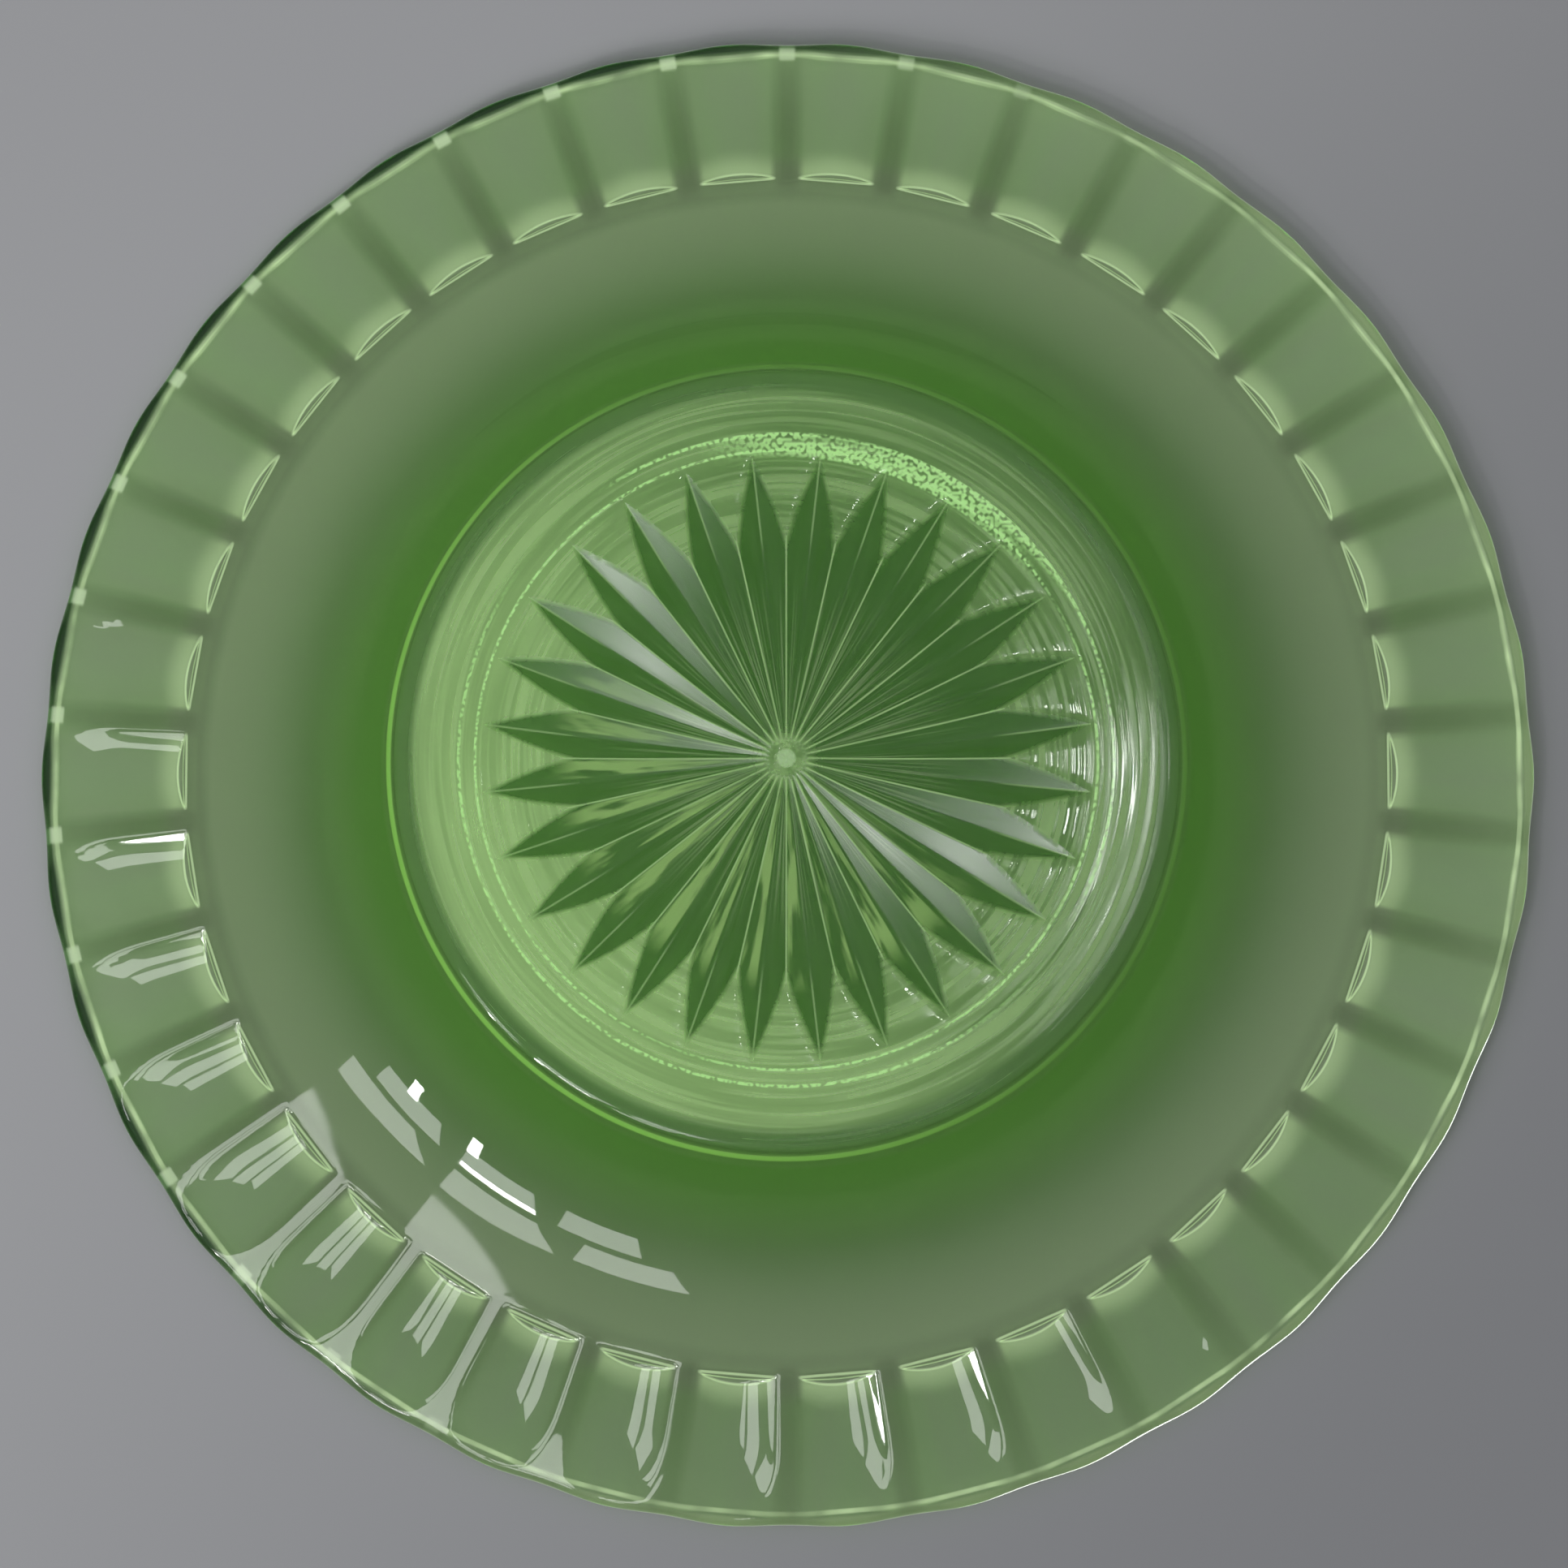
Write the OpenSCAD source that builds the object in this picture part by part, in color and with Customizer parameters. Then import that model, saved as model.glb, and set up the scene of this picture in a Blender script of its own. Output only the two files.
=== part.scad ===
// Round dish of pressed glass, one moulding. Its underside has a star of V-shaped rays inside a flat
// foot, and a ring of scooped panels round the outside of the brim. Its inside is smooth.
// +Z is up. The origin is the centre of the foot, on the surface that the dish stands on.

/* [Overall] */
// Diameter over the lip
rim_d = 230; // [215:1:280]
// Height from the foot to the top of the lip
height = 28; // [25:0.5:40]

/* [Foot] */
// Diameter of the foot
foot_d = 118; // [98:1:142]
// Height of the foot's side, up to the wall
foot_h = 2; // [1.8:0.1:3]
// Rounding between the foot's resting face and its side
foot_round = 1.6; // [0.5:0.1:1.7]
// Thickness of the glass over the foot
base_t = 7; // [4.6:0.1:8.5]

/* [Wall and brim] */
// Thickness of the wall and the brim
wall_t = 4.6; // [3.8:0.1:5.6]
// Diameter at which the wall turns into the brim
shoulder_d = 152; // [146:1:165]
// Height of that turn on the outside
shoulder_h = 16; // [12:0.5:18]
// Thickness of the lip
lip_t = 3.6; // [3:0.1:4.4]
// How far the floor inside ends short of where an even wall would meet it
floor_inset = 0; // [-2.5:0.1:11]
// Rounding between the floor inside and the wall
inner_round = 22; // [10:1:30]

/* [Panels] */
// Number of scooped panels round the brim
panel_count = 38; // [24:1:46]
// Diameter of the ring on which the panels begin
panel_ring_d = 183; // [170:1:195]
// Depth of a panel where it begins
panel_depth = 1.5; // [0.8:0.1:1.9]
// Depth of a panel at the lip
panel_lip_depth = 1.1; // [0.6:0.1:1.4]
// Width of the rib between two panels
rib_w = 2.8; // [2:0.1:4]

/* [Star] */
// Number of rays
ray_count = 28; // [20:1:34]
// Diameter over the ray tips
star_d = 91.6; // [74:0.1:98]
// Diameter of the uncut patch in the middle
star_patch_d = 4.6; // [3:0.1:8]
// Depth of a ray at its deepest
ray_depth = 2.4; // [1:0.1:3]
// Width of a ray at its deepest
ray_w = 8.9; // [8:0.1:11]

/* [Hidden] */

// How far the star's cutter reaches out of the foot's face
cut_past = 0.5;

// The section's outside: foot, wall, brim and round lip. The brim's line touches the lip from below.
foot_r = foot_d / 2;
lip_r = lip_t / 2;
shoulder = [shoulder_d / 2, shoulder_h];
lip_centre = [rim_d / 2 - lip_r, height - lip_r];
to_lip = lip_centre - shoulder;
brim_angle = atan2(to_lip[1], to_lip[0]) - asin(lip_r / norm(to_lip));
wall_angle = atan2(shoulder_h - foot_h, shoulder[0] - foot_r);

// Its inside: the turn lies a wall's thickness from the outside's two lines. The floor's edge is placed
// from the line that an even wall would follow down from there, so it goes with the foot.
turn_angle = (brim_angle + wall_angle) / 2;
inner_turn = shoulder + wall_t / cos(wall_angle - turn_angle) * [-sin(turn_angle), cos(turn_angle)];
floor_r = inner_turn[0] - (inner_turn[1] - base_t) / tan(wall_angle) - floor_inset;
inner_angle = atan2(inner_turn[1] - base_t, inner_turn[0] - floor_r);
inner_round_centre = [floor_r - inner_round * tan(inner_angle / 2), base_t + inner_round];

// A unit step along the brim, away from the axis, and one square to it, out of the glass
along_brim = [cos(brim_angle), sin(brim_angle)];
out_of_brim = [sin(brim_angle), -cos(brim_angle)];

function arc(centre, r, from, to, steps) =
    [for (i = [0:steps]) let (a = from + (to - from) * i / steps) centre + r * [cos(a), sin(a)]];

// Half of the section, which turns round the axis
module section() {
    polygon(concat(
        [[0, 0]],
        arc([foot_r - foot_round, foot_round], foot_round, -90, 0, 6),
        [[foot_r, foot_h], shoulder],
        arc(lip_centre, lip_r, brim_angle - 90, brim_angle + 90, 12),
        [inner_turn],
        arc(inner_round_centre, inner_round, inner_angle - 90, -90, 6),
        [[0, base_t]]
    ));
}

// Radius of a scoop from its width and its depth
function scoop_r(w, depth) = (w * w / 4 + depth * depth) / (2 * depth);

// Width that a panel has at a distance from the axis, between two ribs
function panel_w(from_axis) = 2 * from_axis * sin(180 / panel_count) - rib_w;

// How far a panel's cutter runs on beyond the lip, to end clear of it
past_lip = 4 * lip_r;

// One panel's cutter: a cone that lies under the brim and widens towards the lip. Its round side cuts
// the panel's hollow floor, and its flat end, which crosses the brim at the panels' ring, the end wall.
module panel_cutter() {
    begin = shoulder + (panel_ring_d / 2 - shoulder[0]) / cos(brim_angle) * along_brim;
    lip_under = lip_centre + lip_r * out_of_brim;
    panel_l = norm(lip_under - begin);
    run = panel_l + past_lip;
    begin_r = scoop_r(panel_w(begin[0]), panel_depth);
    end_r = scoop_r(panel_w(lip_under[0]), panel_lip_depth);
    lift = atan((panel_depth - panel_lip_depth) / panel_l);
    flare = atan((end_r - begin_r) / panel_l);
    set_back = (begin_r - panel_depth) * sin(flare);
    place = begin + (begin_r - panel_depth) * out_of_brim;
    translate([place[0], 0, place[1]])
        rotate([0, 90 - brim_angle + lift + flare, 0])
            translate([0, 0, -set_back])
                cylinder(h = run / cos(flare) + set_back, r1 = begin_r / cos(flare) - set_back * tan(flare),
                         r2 = (begin_r + run * tan(flare)) / cos(flare), $fn = 96);
}

// The star is cut by one ring of joined rays. Along a ray the depth follows a parabola from tip to
// tip, and both flanks slope evenly out of its deepest line. Neighbours meet in a ridge over the
// stretch where they are wide enough, and outside that stretch a ray narrows to its tip on flat glass.
ray_mid = (star_d + star_patch_d) / 4;
ray_run = (star_d - star_patch_d) / 4;
flank = ray_w / 2 / ray_depth;
half_pitch = tan(180 / ray_count);
function depth_at(x) = ray_depth * (1 - pow((x - ray_mid) / ray_run, 2));

// The ridge leaves the cutter's flat base where depth + cut_past = x * half_pitch / flank
bend = ray_depth / (ray_run * ray_run);
middle = ray_mid - half_pitch / flank / (2 * bend);
reach = sqrt(middle * middle - ray_mid * ray_mid + (ray_depth + cut_past) / bend);
ridge_from = middle - reach;
ridge_to = middle + reach;
tip_reach = ray_run * sqrt(1 + cut_past / ray_depth);
ridge_steps = 6;
tip_steps = 3;

// Distances from the axis at which a ray's section is placed, from its inner tip to its outer tip
stations = concat(
    [ray_mid - tip_reach],
    [for (i = [0:ridge_steps]) ridge_from + (ridge_to - ridge_from) * i / ridge_steps],
    [for (i = [1:tip_steps]) ridge_to + (ray_mid + tip_reach - ridge_to) * i / tip_steps]);
count = len(stations);
last = count - 1;
ridge_end = 1 + ridge_steps;
function on_ridge(k) = k >= 1 && k <= ridge_end;
function side_w(k) = on_ridge(k) ? stations[k] * half_pitch : (depth_at(stations[k]) + cut_past) * flank;
function side_z(k) = k > 1 && k < ridge_end ? depth_at(stations[k]) - side_w(k) / flank : -cut_past;

// A point of ray i, at station k: side 0 is the deepest line, 1 and -1 are its two edges
function ray_point(i, side, k) =
    let (a = (i + 0.5) * 360 / ray_count, x = stations[k], y = side * side_w(k))
    [x * cos(a) - y * sin(a), x * sin(a) + y * cos(a), side == 0 ? depth_at(x) : side_z(k)];
star_points = [for (i = [0:ray_count - 1]) for (side = [0, 1, -1]) for (k = [0:last])
    ray_point(i, side, k)];

// Numbers of those points. Both tips are one point each, and neighbours share a ridge's points.
function deep(i, k) = 3 * count * i + k;
function left(i, k) = k == 0 || k == last ? deep(i, k) : deep(i, k) + count;
function right(i, k) = k == 0 || k == last ? deep(i, k)
    : on_ridge(k) ? left((i + ray_count - 1) % ray_count, k)
    : deep(i, k) + 2 * count;

// The four sides of one step along a ray, less those that a tip closes
function left_flank(i, k) = k == 0 ? [deep(i, 0), left(i, 1), deep(i, 1)]
    : k == last - 1 ? [deep(i, k), left(i, k), deep(i, last)]
    : [deep(i, k), left(i, k), left(i, k + 1), deep(i, k + 1)];
function right_flank(i, k) = k == 0 ? [deep(i, 0), deep(i, 1), right(i, 1)]
    : k == last - 1 ? [deep(i, k), deep(i, last), right(i, k)]
    : [deep(i, k), deep(i, k + 1), right(i, k + 1), right(i, k)];
function base_faces(i) = concat(
    [[deep(i, 0), right(i, 1), left(i, 1)]],
    [[left(i, 1), right(i, 1), right(i, ridge_end), left(i, ridge_end)]],
    [for (k = [ridge_end:last - 2]) [left(i, k), right(i, k), right(i, k + 1), left(i, k + 1)]],
    [[left(i, last - 1), right(i, last - 1), deep(i, last)]]);
star_faces = [for (i = [0:ray_count - 1]) each concat(
    [for (k = [0:last - 1]) left_flank(i, k)],
    [for (k = [0:last - 1]) right_flank(i, k)],
    base_faces(i))];

module star_cutter() {
    polyhedron(star_points, star_faces, convexity = 10);
}

module dish() {
    color([0.45, 0.72, 0.32, 0.6])
        difference() {
            rotate_extrude($fn = 180) section();
            for (i = [0:panel_count - 1])
                rotate([0, 0, i * 360 / panel_count]) panel_cutter();
            star_cutter();
        }
}

dish();
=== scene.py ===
import math

import bpy
import numpy as np
from mathutils import Matrix, Vector


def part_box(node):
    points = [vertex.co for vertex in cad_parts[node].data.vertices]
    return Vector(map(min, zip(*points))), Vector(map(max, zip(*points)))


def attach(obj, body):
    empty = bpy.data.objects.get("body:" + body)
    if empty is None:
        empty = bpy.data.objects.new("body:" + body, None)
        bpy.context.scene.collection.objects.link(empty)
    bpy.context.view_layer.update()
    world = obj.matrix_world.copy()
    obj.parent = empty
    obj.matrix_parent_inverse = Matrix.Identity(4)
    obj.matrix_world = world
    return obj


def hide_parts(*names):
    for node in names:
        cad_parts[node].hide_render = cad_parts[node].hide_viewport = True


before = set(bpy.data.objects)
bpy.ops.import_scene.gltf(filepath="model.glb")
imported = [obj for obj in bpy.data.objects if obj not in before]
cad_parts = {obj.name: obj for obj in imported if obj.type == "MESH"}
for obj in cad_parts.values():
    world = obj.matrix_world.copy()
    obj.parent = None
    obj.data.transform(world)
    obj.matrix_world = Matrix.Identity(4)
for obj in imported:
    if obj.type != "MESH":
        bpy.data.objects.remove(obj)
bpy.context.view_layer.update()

# ---------------------------------------------------------------------------------------------
# The dish: one pressing of green uranium glass. The mould gives the outside its foot, star, wall
# and panelled brim, and a smooth plunger gives the inside. Sizes here are in millimetres.
# ---------------------------------------------------------------------------------------------
MM = 0.001
low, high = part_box("dish")
rim_r = (high[0] - low[0]) / 2 / MM
height = (high[2] - low[2]) / MM

foot_r, foot_rise, foot_round = 59.0, 2.0, 1.6
base_t, wall_t = 7.0, 4.6
shoulder = np.array([76.0, 16.0])
lip_r = 1.8
lip_centre = np.array([rim_r - lip_r, height - lip_r])
to_lip = lip_centre - shoulder
brim_slope = math.atan2(to_lip[1], to_lip[0]) - math.asin(lip_r / math.hypot(*to_lip))
into_glass = np.array([-math.sin(brim_slope), math.cos(brim_slope)])
lip_under = lip_centre - lip_r * into_glass
lip_over = lip_centre + lip_r * into_glass

# The inside's turn and floor keep the wall's thickness from the outside
wall_slope = math.atan2(shoulder[1] - foot_rise, shoulder[0] - foot_r)
turn_slope = (brim_slope + wall_slope) / 2
inner_turn = shoulder + wall_t / math.cos(wall_slope - turn_slope) * np.array(
    [-math.sin(turn_slope), math.cos(turn_slope)])
floor_r = inner_turn[0] - (inner_turn[1] - base_t) / math.tan(wall_slope)


def rounded(points, radii, step):
    """A line through these corners, each rounded to its radius, as points about a step apart."""
    points = [np.array(point, float) for point in points]
    path = [points[0]]
    for before, corner, after, radius in zip(points, points[1:], points[2:], radii):
        back = (before - corner) / np.linalg.norm(before - corner)
        on = (after - corner) / np.linalg.norm(after - corner)
        half = math.acos(back @ on) / 2
        bisector = (back + on) / np.linalg.norm(back + on)
        centre = corner + bisector * radius / math.sin(half)
        side = np.array([bisector[1], -bisector[0]])
        if side @ on < 0:
            side = -side
        count = max(5, math.ceil(radius * (math.pi - 2 * half) / step))
        for turn in np.linspace(-1, 1, count + 1) * (math.pi / 2 - half):
            path.append(centre + radius * (math.sin(turn) * side - math.cos(turn) * bisector))
    path.append(points[-1])
    filled = [path[0]]
    for point in path[1:]:
        pieces = max(1, round(np.linalg.norm(point - filled[-1]) / step))
        filled += list(filled[-1] + (point - filled[-1]) * np.arange(1, pieces + 1)[:, None] / pieces)
    return filled


def smooth_min(a, b, blend):
    """The lower of two heights, with the corner between them rounded over about this much."""
    share = np.clip(0.5 + 0.5 * (b - a) / blend, 0, 1)
    return b * (1 - share) + a * share - blend * share * (1 - share)


def smooth_max(a, b, blend):
    return -smooth_min(-a, -b, blend)


def mirrored(half, sectors, first):
    """Angles all round from the angles of half a sector, whose middle is at the first angle."""
    sector = np.concatenate([-half[:0:-1], half[:-1]])
    return np.concatenate([sector + first + i * 2 * half[-1] for i in range(sectors)])


def ring(angle, radius, rise):
    """A ring of the mesh: the angles of its columns, and their distances from the axis and heights."""
    return angle, radius + 0 * angle, rise + 0 * angle


# The star: long V-shaped rays, each pressed as if by the edge of a large wheel
RAYS = 28
ray_half = math.pi / RAYS
star_in, star_out = 2.3, 45.8
ray_middle, ray_run = (star_in + star_out) / 2, (star_out - star_in) / 2
ray_depth, ray_w = 2.4, 8.9
flank = ray_w / 2 / ray_depth


def ray_bottom(along):
    return ray_depth * (1 - ((along - ray_middle) / ray_run) ** 2)


def star_columns(radius):
    """Angles of the columns over half a ray. The same columns follow the leaf's outline all along."""
    reach = ray_bottom(radius) * flank / (radius * math.sin(ray_half))
    outline = np.clip(reach, 0.03, 0.97) if reach < 1 else 0.8
    inside = np.array([0, 0.07, 0.18, 0.36, 0.58, 0.8, 0.94]) * outline
    outside = outline + (1 - outline) * np.array([0, 0.25, 0.65, 1.0])
    return np.concatenate([inside, outside]) * ray_half


def star_rise(angle, radius):
    """How far the star's surface lies above the foot's resting face."""
    off = angle % (2 * ray_half) - ray_half
    across = np.abs(radius * np.sin(off))
    to_ridge = radius * math.sin(ray_half) - across
    keel = np.sqrt(across**2 + 0.22**2) - 0.12
    ridge = across + to_ridge - np.sqrt(to_ridge**2 + 0.1**2)
    rise = ray_bottom(radius * np.cos(off)) - np.minimum(keel, np.maximum(ridge, 0)) / flank
    return smooth_max(rise, 0, 0.12)


rings = []
for radius in [star_in - 0.6, *np.arange(star_in, 8, 0.55), *np.arange(8, 46.4, 0.72), 46.6]:
    angle = mirrored(star_columns(radius), RAYS, ray_half)
    rings.append(ring(angle, radius, star_rise(angle, radius)))

# The foot's face and side, and the wall up to the panels
panel_ring = 91.5
round_columns = np.arange(228) / 228 * 2 * math.pi
for radius, rise in rounded([(47.2, 0), (foot_r, 0), (foot_r, foot_rise), shoulder, lip_under],
                            [foot_round, 0.4, 24.0], 0.9):
    if radius < panel_ring - 2.2:
        rings.append(ring(round_columns, radius, rise))

# The panels: shallow scoops that start at a sloping end wall, with a rounded rib between each two,
# and the lip, which the ribs draw in a little
PANELS = 38
panel_half = math.pi / PANELS
panel_depth, rib_w = 1.5, 2.8
end_slope = math.tan(math.radians(45))
fade_from = 103.0
draw_in = 0.45
panel_columns = mirrored(
    np.array([0, 0.15, 0.3, 0.44, 0.56, 0.66, 0.74, 0.8, 0.85, 0.9, 0.95, 1.0]) * panel_half, PANELS, 0.0)
off_middle = (panel_columns + panel_half) % (2 * panel_half) - panel_half


def panel_cut(radius):
    """Depth of the panels under the brim's surface, at this distance from the axis."""
    along, across = radius * np.cos(off_middle), radius * np.sin(off_middle)
    half_w = along * math.tan(panel_half) - rib_w / 2
    fade = np.clip((along - fade_from) / (rim_r - fade_from), 0, 1) ** 2
    scoop = panel_depth * (1 - (across / half_w) ** 2 - fade)
    end_wall = (along - panel_ring) / math.cos(brim_slope) * end_slope
    return smooth_max(smooth_min(scoop, end_wall, 0.22), 0, 0.24)


def brim_ring(radius, rise, depth):
    """A ring round the brim or the lip, with this share of the panels' depth."""
    cut = panel_cut(radius) * depth
    waves = (1 - np.cos(PANELS * panel_columns)) / 2
    pull = draw_in * waves * np.clip((radius - 107) / (rim_r - 107), 0, 1) ** 2
    return ring(panel_columns, radius + into_glass[0] * cut - pull, rise + into_glass[1] * cut)


end_wall_rings = np.arange(panel_ring - 1.3, panel_ring + 4, 0.42)
scoop_rings = np.arange(panel_ring + 4.4, lip_under[0] - 0.2, 1.7)
for radius in [*end_wall_rings, *scoop_rings]:
    rise = shoulder[1] + (radius - shoulder[0]) * math.tan(brim_slope)
    rings.append(brim_ring(radius, rise, 1))
for turn in np.linspace(-math.pi / 2, math.pi / 2, 13) + brim_slope:
    radius, rise = lip_centre + lip_r * np.array([math.cos(turn), math.sin(turn)])
    rings.append(brim_ring(radius, rise, np.clip(lip_centre[1] - rise, 0, 1)))

# The inside, back from the lip to the middle of the floor
for radius, rise in rounded([lip_over, inner_turn, (floor_r, base_t), (0, base_t)], [30.0, 22.0], 1.6)[1:]:
    if radius > 1:
        rings.append(ring(round_columns, radius, rise))


def stitched(rings, first_centre, last_centre):
    """One closed surface through rings of points. Rings with unlike columns are zipped together."""
    points, faces, starts = [np.array([first_centre])], [], []
    for angle, radius, rise in rings:
        starts.append(sum(len(part) for part in points))
        points.append(np.stack([radius * np.cos(angle), radius * np.sin(angle), rise], 1))
    points.append(np.array([last_centre]))
    for (a, _, _), (b, _, _), i, j in zip(rings, rings[1:], starts, starts[1:]):
        n, m = len(a), len(b)
        if n == m:
            k = np.arange(n)
            faces += np.stack([i + k, i + (k + 1) % n, j + (k + 1) % n, j + k], 1).tolist()
            continue
        p = q = 0
        while p < n or q < m:
            next_a = a[(p + 1) % n] + 2 * math.pi * ((p + 1) // n)
            next_b = b[(q + 1) % m] + 2 * math.pi * ((q + 1) // m)
            if q >= m or (p < n and next_a < next_b):
                faces.append([i + (p + 1) % n, j + q % m, i + p % n])
                p += 1
            else:
                faces.append([j + (q + 1) % m, j + q % m, i + p % n])
                q += 1
    first, last, end = len(rings[0][0]), len(rings[-1][0]), starts[-1] + len(rings[-1][0])
    faces += [[starts[0] + (k + 1) % first, starts[0] + k, 0] for k in range(first)]
    faces += [[starts[-1] + k, starts[-1] + (k + 1) % last, end] for k in range(last)]
    return np.concatenate(points), faces


patch_rise = 0.35
points, faces = stitched(rings, (0, 0, patch_rise), (0, 0, base_t))
glass_mesh = bpy.data.meshes.new("dish_glass")
glass_mesh.from_pydata((points * MM).tolist(), [], faces)
glass_mesh.update()
glass_mesh.shade_smooth()
dish = bpy.data.objects.new("dish_glass", glass_mesh)
bpy.context.scene.collection.objects.link(dish)


class Wire:
    """An output in a material. Arithmetic with it adds Math nodes, and node() adds any other."""

    def __init__(self, tree, socket=None):
        self.tree, self.socket = tree, socket

    def node(self, kind, settings=(), values=(), out=0):
        new = self.tree.nodes.new(kind)
        for name, value in dict(settings).items():
            setattr(new, name, value)
        for name, value in dict(values).items():
            if isinstance(value, Wire):
                self.tree.links.new(value.socket, new.inputs[name])
            else:
                new.inputs[name].default_value = value
        return Wire(self.tree, new.outputs[out] if len(new.outputs) else None)

    def math(self, operation, *others):
        return self.node("ShaderNodeMath", {"operation": operation}, enumerate((self, *others)))

    def __add__(self, other):
        return self.math("ADD", other)

    def __sub__(self, other):
        return self.math("SUBTRACT", other)

    def __mul__(self, other):
        return self.math("MULTIPLY", other)

    def __truediv__(self, other):
        return self.math("DIVIDE", other)

    def __rsub__(self, other):
        return (self * -1.0).math("ADD", other)

    __radd__ = __add__
    __rmul__ = __mul__

    def above(self, low, high):
        """0 below the low value, 1 above the high one, and a smooth rise from one to the other."""
        return self.node("ShaderNodeMapRange", {"interpolation_type": "SMOOTHSTEP"},
                         {"Value": self, "From Min": low, "From Max": high})

    def within(self, low, high, soft):
        """1 between the two values and 0 outside them, with soft edges."""
        return self.above(low - soft, low) * (1 - self.above(high, high + soft))

    def over(self, under, colour):
        """A colour laid over the one under it, as strongly as this mask says."""
        return self.node("ShaderNodeMix", {"data_type": "RGBA"}, {0: self, 6: under, 7: colour}, out=2)

    def noise(self, x, y, z, detail):
        """Noise from the place (x, y, z), between 0 and 1."""
        at = self.node("ShaderNodeCombineXYZ", (), {0: x, 1: y, 2: z})
        return self.node("ShaderNodeTexNoise", (), {"Vector": at, "Scale": 1.0, "Detail": detail})


# The glass. Its places are in metres from the middle of the foot.
glass = bpy.data.materials.new("green_glass")
glass.use_nodes = True
glass.node_tree.nodes.clear()
start = Wire(glass.node_tree)
place = start.node("ShaderNodeTexCoord", out=3)
x, y, z = (start.node("ShaderNodeSeparateXYZ", (), {"Vector": place}, out=i) for i in range(3))
radius = (x * x + y * y).math("SQRT")
turns = y.math("ARCTAN2", x) / (2 * math.pi) + 1
across_x, across_y = x / radius, y / radius

# Places on the star: how far off a ray's keel, and how far off the ridge to the next ray. The marks made from
# them are painted light: painted highlights along keels and ridges, painted reflections in faint radial
# lines, painted highlights on pale flanks, and a painted glint at the middle.
across_ray = (turns * RAYS).math("FRACT") - 0.5
off_keel = across_ray.math("ABSOLUTE")
pitch = radius * (2 * math.pi / RAYS)
in_star = z.within(0.00012, 0.0032, 0.0001) * (1 - radius.above(0.0462, 0.0466))
star_grain = start.noise(across_x * 16.0, across_y * 16.0, radius * 90.0, 2.0)
keels = (1 - (off_keel * pitch).above(0.00006, 0.00022)) * radius.above(0.03, 0.036)
ridges = (1 - ((0.5 - off_keel) * pitch).above(0.00004, 0.0002)) * (1 - radius.above(0.032, 0.036))
# Painted highlights along the keels and along the ridges between rays
lines = in_star * (keels * 0.45 + ridges * (0.35 + star_grain * 0.8))
# Painted reflections: faint radial lines in the inner part of the star
radial_reflections = (in_star * start.noise(across_x * 70.0, across_y * 70.0, radius * 30.0, 1.0).above(0.5, 0.62)
                * (1 - radius.above(0.012, 0.03)))
# Painted highlights: pale mottled flanks on one side of the star
flank_highlights = (in_star * across_ray.within(0.12, 0.44, 0.05) * radius.within(0.007, 0.03, 0.006)
               * (x * 0.5 - y * 0.85).above(-0.004, 0.014) * star_grain.above(0.4, 0.56))
# Painted glint: a pale patch at the middle of the star
centre_glint = z.within(0.00012, 0.001, 0.0001) * (1 - radius.above(0.0022, 0.0034))

# Places on the brim: the ribs, the panels' end walls with the glass just past them, and the lip. They carry
# painted light and shade: painted shadows along the ribs and in a ring inside the panels, painted bright
# lines and light at the end walls, a painted highlight line and pale highlights at the rib ends on the lip,
# the lip's edge painted dark on one side and lit on the other, and the lower panels painted darker.
off_panel = ((turns * PANELS + 0.5).math("FRACT") - 0.5).math("ABSOLUTE")
# Painted shadows beside the ribs, laid in the base colour
ribs = off_panel.above(0.33, 0.47) * radius.above(0.0895, 0.0925) * (1 - radius.above(0.098, 0.1135) * 0.5)
along = radius * (off_panel * (2 * math.pi / PANELS)).math("COSINE")
past_arc = along - 0.0934 + off_panel * off_panel * 0.0092
on_panel = 1 - off_panel.above(0.35, 0.4)
# Painted highlights: bright lines along the panels' end walls
end_wall_highlights = on_panel * (along.within(0.0918, 0.0920, 0.0002)
                        + past_arc.within(-0.0001, 0.0001, 0.00015) * 0.6)
# Painted light on the glass just past each end wall
end_wall_light = on_panel * past_arc.above(0.0, 0.0004) * (1 - past_arc.above(0.0004, 0.0045))
# Painted highlight: a bright line just inside the lip
lip_highlight = radius.within(0.1125, 0.1129, 0.0003)
# The lip's edge: painted shade on one side, painted light on the other
lip_edge = radius.above(0.1132, 0.1137)
# The side that gets the painted shade at the lip's edge, the stronger painted shadow ring and the pale
# rib-end highlights
lip_side = (x * 0.9 + y * 0.4).above(-0.03, 0.07)
# Painted shade: the panels on the lower side are darker
shaded_low_panels = radius.above(0.092, 0.096) * (y * -1.0).above(0.03, 0.09)
# Painted highlights: pale spots where the ribs reach the lip
rib_end_highlights = off_panel.above(0.42, 0.45) * radius.within(0.1120, 0.1136, 0.0004)
# Painted shadow: a soft dark ring just inside the panels
ring_shade = radius.within(0.0900, 0.0914, 0.0024)
# Noise that varies the painted light in the panels and along the lip
streaks = start.noise(across_x * 26.0, across_y * 26.0, radius * 40.0, 1.0)

# Years of standing and wiping have scuffed the foot's face: rings of fine lines, and stray scratches. Only
# the rings are drawn, as bump and roughness; the same rings also vary a painted sheen on the foot, and
# painted reflections lie in arcs on it.
on_foot = (1 - z.above(0.0001, 0.0005)) * (1 - radius.above(0.057, 0.059))
fine_rings = start.noise(across_x * 1.8, across_y * 1.8, radius * 1500.0, 1.0)
broad_rings = start.noise(across_x * 1.2, across_y * 1.2, radius * 380.0, 1.0)
sparkle = start.noise(x * 1600.0, y * 1600.0, z * 60.0, 0.0)
# Scuffing that roughens the foot and also varies the painted sheen on it
wear_and_sheen = on_foot * (fine_rings.above(0.42, 0.66) * 0.6 + broad_rings.above(0.4, 0.66) * 0.5)
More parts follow.
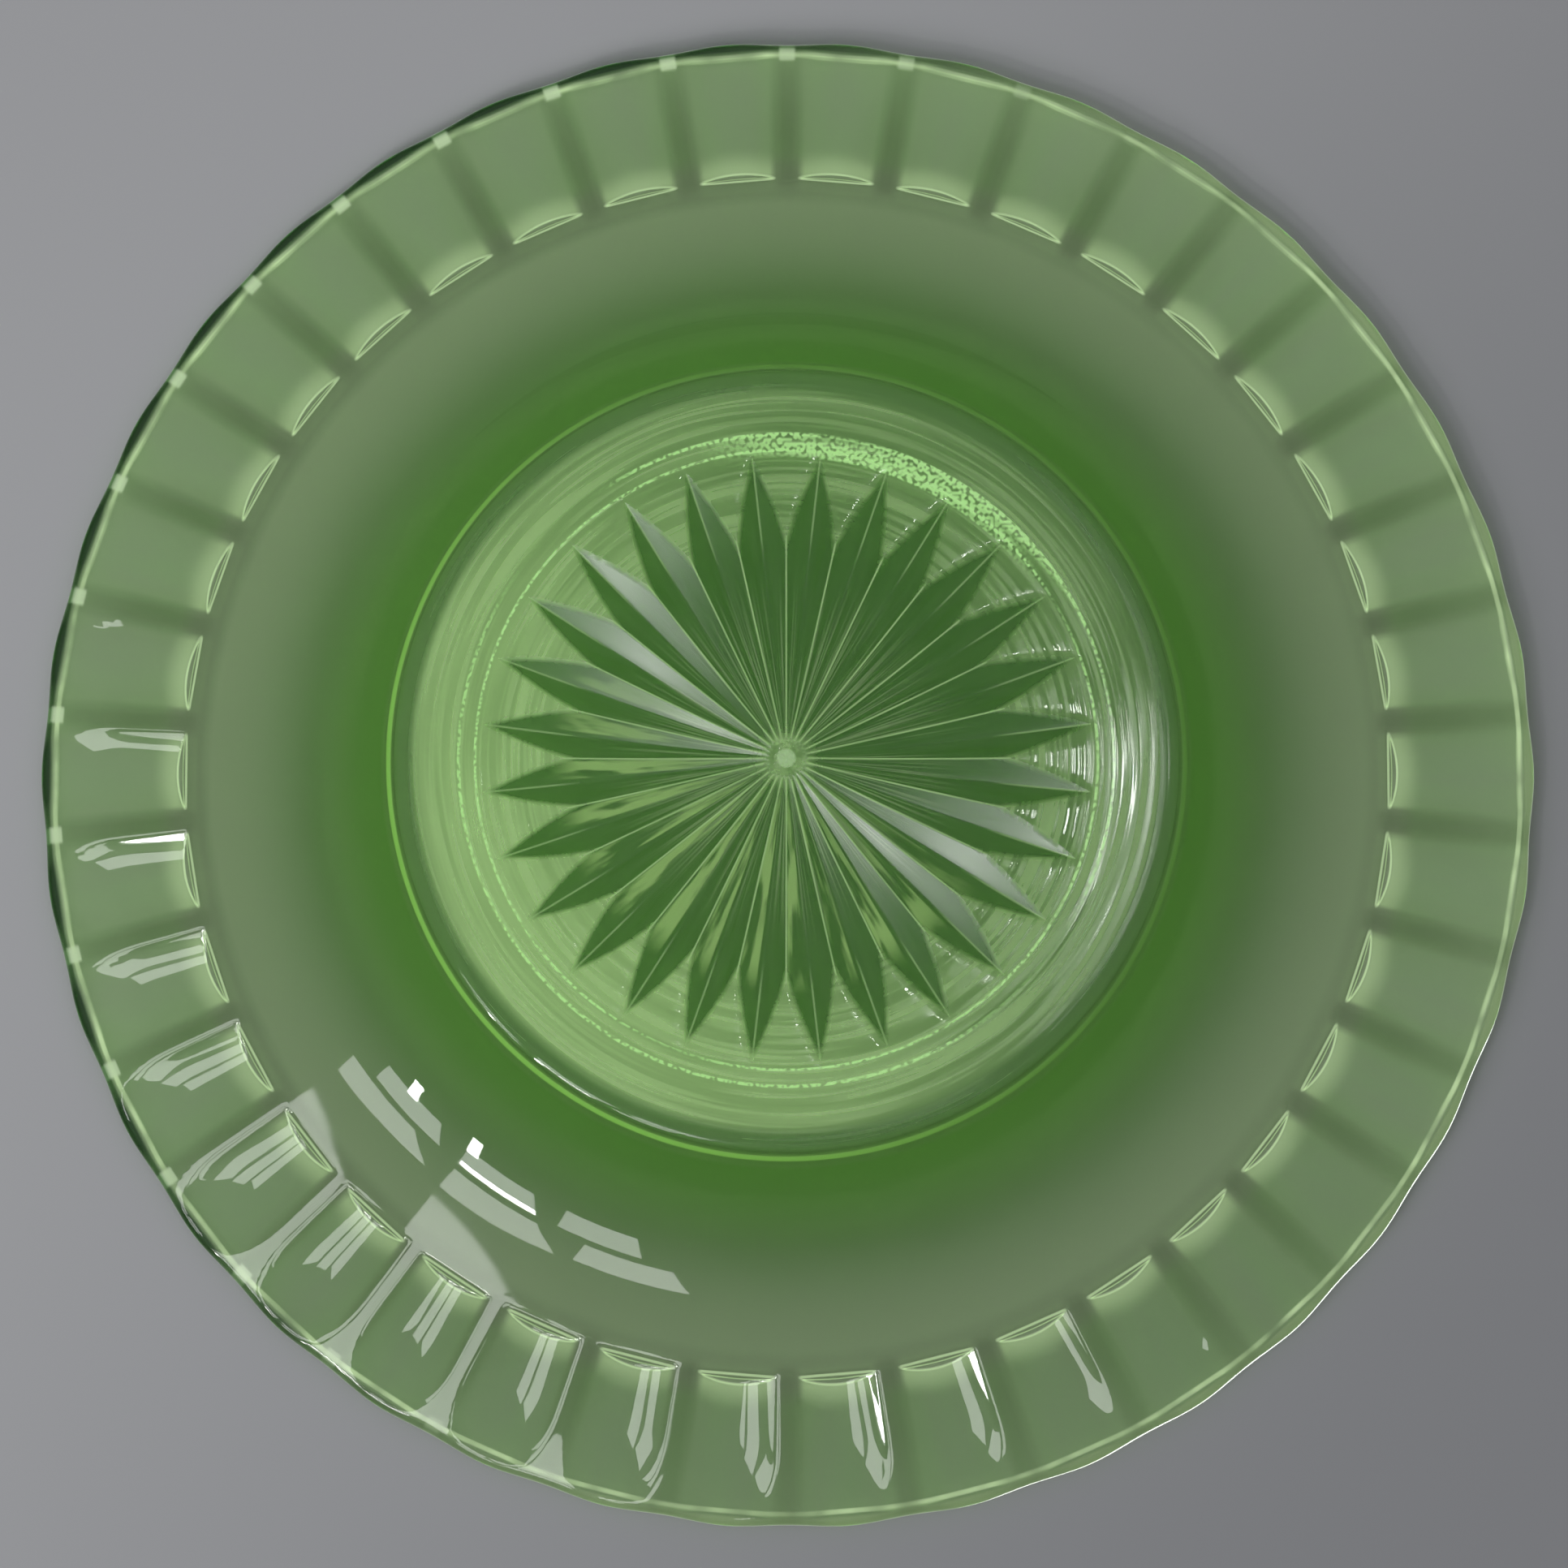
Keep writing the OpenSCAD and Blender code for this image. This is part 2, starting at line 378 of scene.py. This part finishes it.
# Where the painted sheen of the scuffed foot lies
foot_ring_sheen = on_foot * (1 - radius.above(0.0545, 0.0565))
# Painted glare: the side of the foot that a lamp's reflection brightens
glare_side = (x * 0.85 - y * 0.5).above(-0.03, 0.06)
# Painted reflections: sparkling arcs of light on the foot
ring_reflections = on_foot * sparkle.above(0.3, 0.6) * broad_rings.above(0.3, 0.5) * (
    radius.within(0.0463, 0.0465, 0.0002) + radius.within(0.0487, 0.0490, 0.0002)
    + radius.within(0.0455, 0.0486, 0.0004) * (y * 0.92 - x * 0.38).above(0.036, 0.045))

# Painted shade in the base colour: the colour deepens in the star and on the steep wall, where light runs
# longer through the glass, a little on the brim, and darkens in painted shadows along the ribs, in a ring
# inside the panels, on the lower panels, at the foot's side and at the lip's edge
# The steep wall, where a deeper green and painted light are laid
wall = radius.above(0.0588, 0.0598) * (1 - radius.above(0.0615, 0.0745))
# Painted light: a bright line at the foot's edge
foot_edge = radius.within(0.0593, 0.0597, 0.0003) * z.within(0.0005, 0.0035, 0.0003)
# Painted shade: a dark band at the foot's side
foot_side = radius.within(0.0586, 0.0590, 0.0002) * (1 - z.above(0.002, 0.003))
tint_and_shade = (1 - radius.above(0.068, 0.087)).over((0.99, 1.0, 0.98, 1), (0.9, 0.96, 0.86, 1))
tint_and_shade = wall.over(tint_and_shade, (0.6, 0.78, 0.46, 1))
tint_and_shade = (foot_side * 0.8).over(tint_and_shade, (0.4, 0.5, 0.3, 1))
tint_and_shade = (shaded_low_panels * 0.6).over(tint_and_shade, (0.7, 0.76, 0.67, 1))
tint_and_shade = ribs.over(tint_and_shade, (0.54, 0.58, 0.5, 1))
tint_and_shade = (ring_shade * (0.25 + lip_side * 0.4)).over(tint_and_shade, (0.55, 0.6, 0.52, 1))
tint_and_shade = (lip_edge * (0.35 + lip_side * 0.65)).over(tint_and_shade, (0.1, 0.22, 0.09, 1))
tint_and_shade = (in_star * (0.72 + star_grain * 0.4)).over(tint_and_shade, (0.22, 0.5, 0.09, 1))

# Painted light, laid in the emission: light through the glass that grows towards the brim and on the steep
# wall, the light that scuffed and steep places catch as painted sheen and glare, painted reflections and
# highlights on the star, the end walls, the rib ends and the lip, and the lip's edge left dark on one side
painted_glow = radius.above(0.068, 0.088).over((0.004, 0.012, 0.002, 1), (0.026, 0.033, 0.02, 1))
painted_glow = (radius.above(0.093, 0.097) * (0.3 + streaks)).over(painted_glow, (0.024, 0.044, 0.015, 1))
painted_glow = (wall * 0.8).over(painted_glow, (0.01, 0.034, 0.002, 1))
painted_glow = (foot_ring_sheen * (0.16 + wear_and_sheen * 0.42 + glare_side * 0.58)).over(painted_glow, (0.17, 0.245, 0.105, 1))
painted_glow = ring_reflections.over(painted_glow, (0.3, 0.52, 0.2, 1))
painted_glow = (end_wall_light * 0.55).over(painted_glow, (0.13, 0.18, 0.09, 1))
painted_glow = (end_wall_highlights * 0.85).over(painted_glow, (0.32, 0.42, 0.24, 1))
painted_glow = (lip_edge * (1 - lip_side) * 0.7).over(painted_glow, (0.09, 0.115, 0.06, 1))
painted_glow = (lip_edge * lip_side).over(painted_glow, (0.0, 0.003, 0.0, 1))
painted_glow = (lip_highlight * (streaks * 1.5 - 0.2)).over(painted_glow, (0.2, 0.25, 0.15, 1))
painted_glow = (rib_end_highlights * lip_side * 0.8).over(painted_glow, (0.2, 0.24, 0.17, 1))
painted_glow = (radial_reflections * 0.7).over(painted_glow, (0.12, 0.145, 0.085, 1))
painted_glow = flank_highlights.over(painted_glow, (0.15, 0.22, 0.08, 1))
painted_glow = lines.over(painted_glow, (0.24, 0.34, 0.16, 1))
painted_glow = (centre_glint * (0.3 + sparkle)).over(painted_glow, (0.24, 0.32, 0.19, 1))
painted_glow = (foot_edge * (0.15 + glare_side * 0.7)).over(painted_glow, (0.14, 0.32, 0.05, 1))

bump = start.node("ShaderNodeBump", (), {
    "Strength": on_foot * 0.14, "Distance": 0.0004, "Height": fine_rings})
shader = start.node("ShaderNodeBsdfPrincipled", (), {
    "Base Color": tint_and_shade, "Roughness": 0.02 + wear_and_sheen * 0.35 + in_star * 0.24, "IOR": 1.51,
    "Transmission Weight": 1.0, "Normal": bump, "Emission Color": painted_glow, "Emission Strength": 1.0})
depth_tint = start.node("ShaderNodeVolumeAbsorption", (), {"Color": (0.72, 0.985, 0.4, 1), "Density": 100.0})
start.node("ShaderNodeOutputMaterial", (), {"Surface": shader, "Volume": depth_tint})
glass_mesh.materials.append(glass)

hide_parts("dish")
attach(dish, "root")


# ---------------------------------------------------------------------------------------------
# The stage. Upright views look down on a pale floor. The main view looks up at the foot, as when
# the dish lies upside down, so a second sheet, the table, lies on the lip. Each sheet shows on its
# own side only and casts no shadow, so neither view meets the other's sheet.
# ---------------------------------------------------------------------------------------------
def sheet(name, half, rise, up, dark_to_light, roughness):
    corners = [(-half, -half, rise), (half, -half, rise), (half, half, rise), (-half, half, rise)]
    mesh = bpy.data.meshes.new(name)
    mesh.from_pydata(corners, [], [(0, 1, 2, 3) if up else (3, 2, 1, 0)])
    piece = bpy.data.objects.new(name, mesh)
    bpy.context.scene.collection.objects.link(piece)
    finish = bpy.data.materials.new(name)
    finish.use_nodes = True
    finish.node_tree.nodes.clear()
    start = Wire(finish.node_tree)
    behind = start.node("ShaderNodeNewGeometry", out=6)
    spot = start.node("ShaderNodeTexCoord", out=3)
    x, y = (start.node("ShaderNodeSeparateXYZ", (), {"Vector": spot}, out=i) for i in range(2))
    # Painted shade: each sheet runs from its darker colour to its lighter one across the diagonal
    colour = (x + y).above(-0.24, 0.2).over(*dark_to_light)
    cover = start.node("ShaderNodeBsdfPrincipled", (), {"Base Color": colour, "Roughness": roughness})
    gap = start.node("ShaderNodeBsdfTransparent")
    both = start.node("ShaderNodeMixShader", (), {0: behind, 1: cover, 2: gap})
    start.node("ShaderNodeOutputMaterial", (), {"Surface": both})
    mesh.materials.append(finish)
    piece.visible_shadow = False
    piece.visible_diffuse = False
    piece.visible_glossy = False


sheet("floor", 12.0, -0.0002, True, [(0.6, 0.6, 0.61, 1), (0.64, 0.64, 0.65, 1)], 0.7)
sheet("table", 0.6, height * MM + 0.0003, False, [(0.235, 0.24, 0.25, 1), (0.415, 0.42, 0.43, 1)], 0.6)

world = bpy.data.worlds.new("studio")
bpy.context.scene.world = world
world.use_nodes = True
world.node_tree.nodes.clear()
start = Wire(world.node_tree)
steepness = start.node("ShaderNodeSeparateXYZ", (), {"Vector": start.node("ShaderNodeTexCoord")}, out=2)
room = steepness.math("ABSOLUTE").above(0.1, 0.9).over((0.14, 0.14, 0.145, 1), (0.42, 0.42, 0.44, 1))
seen = start.node("ShaderNodeLightPath")
shown = seen.over(room, (0.5, 0.5, 0.5, 1))
start.node("ShaderNodeOutputWorld", (), {"Surface": start.node("ShaderNodeBackground", (), {"Color": shown})})


def lamp(name, at, width, depth, watts):
    light = bpy.data.lights.new(name, "AREA")
    light.shape, light.size, light.size_y = "RECTANGLE", width, depth
    light.energy = watts
    piece = bpy.data.objects.new(name, light)
    bpy.context.scene.collection.objects.link(piece)
    piece.location = at
    piece.rotation_mode = "QUATERNION"
    piece.rotation_quaternion = (-Vector(at)).to_track_quat("-Z", "Y")


# Above, a soft box for the upright views. Below, a window's panes and a small bulb.
lamp("top_box", (-0.9, -0.8, 1.5), 1.2, 1.0, 22)
window = Vector((0.62, -0.77, -0.95))
window_across, window_up = Vector((0.77, 0.62, 0)), Vector((0.36, -0.45, 0.82))
for i in range(3):
    for j in range(2):
        at = window + window_across * (i - 1) * 0.29 + window_up * (j - 0.5) * 0.44
        lamp(f"window_{i}_{j}", at, 0.21, 0.33, 1.15)
lamp("sun_patch", window + window_up * 0.1 + Vector((-0.01, 0.01, 0.02)), 0.2, 0.07, 1.7)
lamp("sun_strip_a", (1.08, -0.8, -0.58), 0.04, 0.3, 1.3)
lamp("sun_strip_b", (0.92, -0.98, -0.6), 0.04, 0.3, 1.3)
lamp("bulb", (-0.1186, 0.096, -1.18), 0.045, 0.09, 0.3)

camera = bpy.data.objects.new("camera", bpy.data.cameras.new("camera"))
bpy.context.scene.collection.objects.link(camera)
bpy.context.scene.camera = camera
camera.data.sensor_width = 36
camera.data.lens = 115.95
camera.data.clip_start = 0.01
distance, lean, lean_aside = 0.78, math.radians(5.46), math.radians(-0.32)
aim = Vector((0.49, -1.2, height)) * MM
camera.location = aim + distance * Vector(
    (math.sin(lean_aside) * math.cos(lean), -math.sin(lean), -math.cos(lean) * math.cos(lean_aside)))
ahead = (aim - camera.location).normalized()
right = ahead.cross(Vector((0, 1, 0))).normalized()
camera.rotation_mode = "QUATERNION"
camera.rotation_quaternion = Matrix((right, right.cross(ahead), -ahead)).transposed().to_quaternion()
bpy.context.scene.view_settings.view_transform = "Standard"
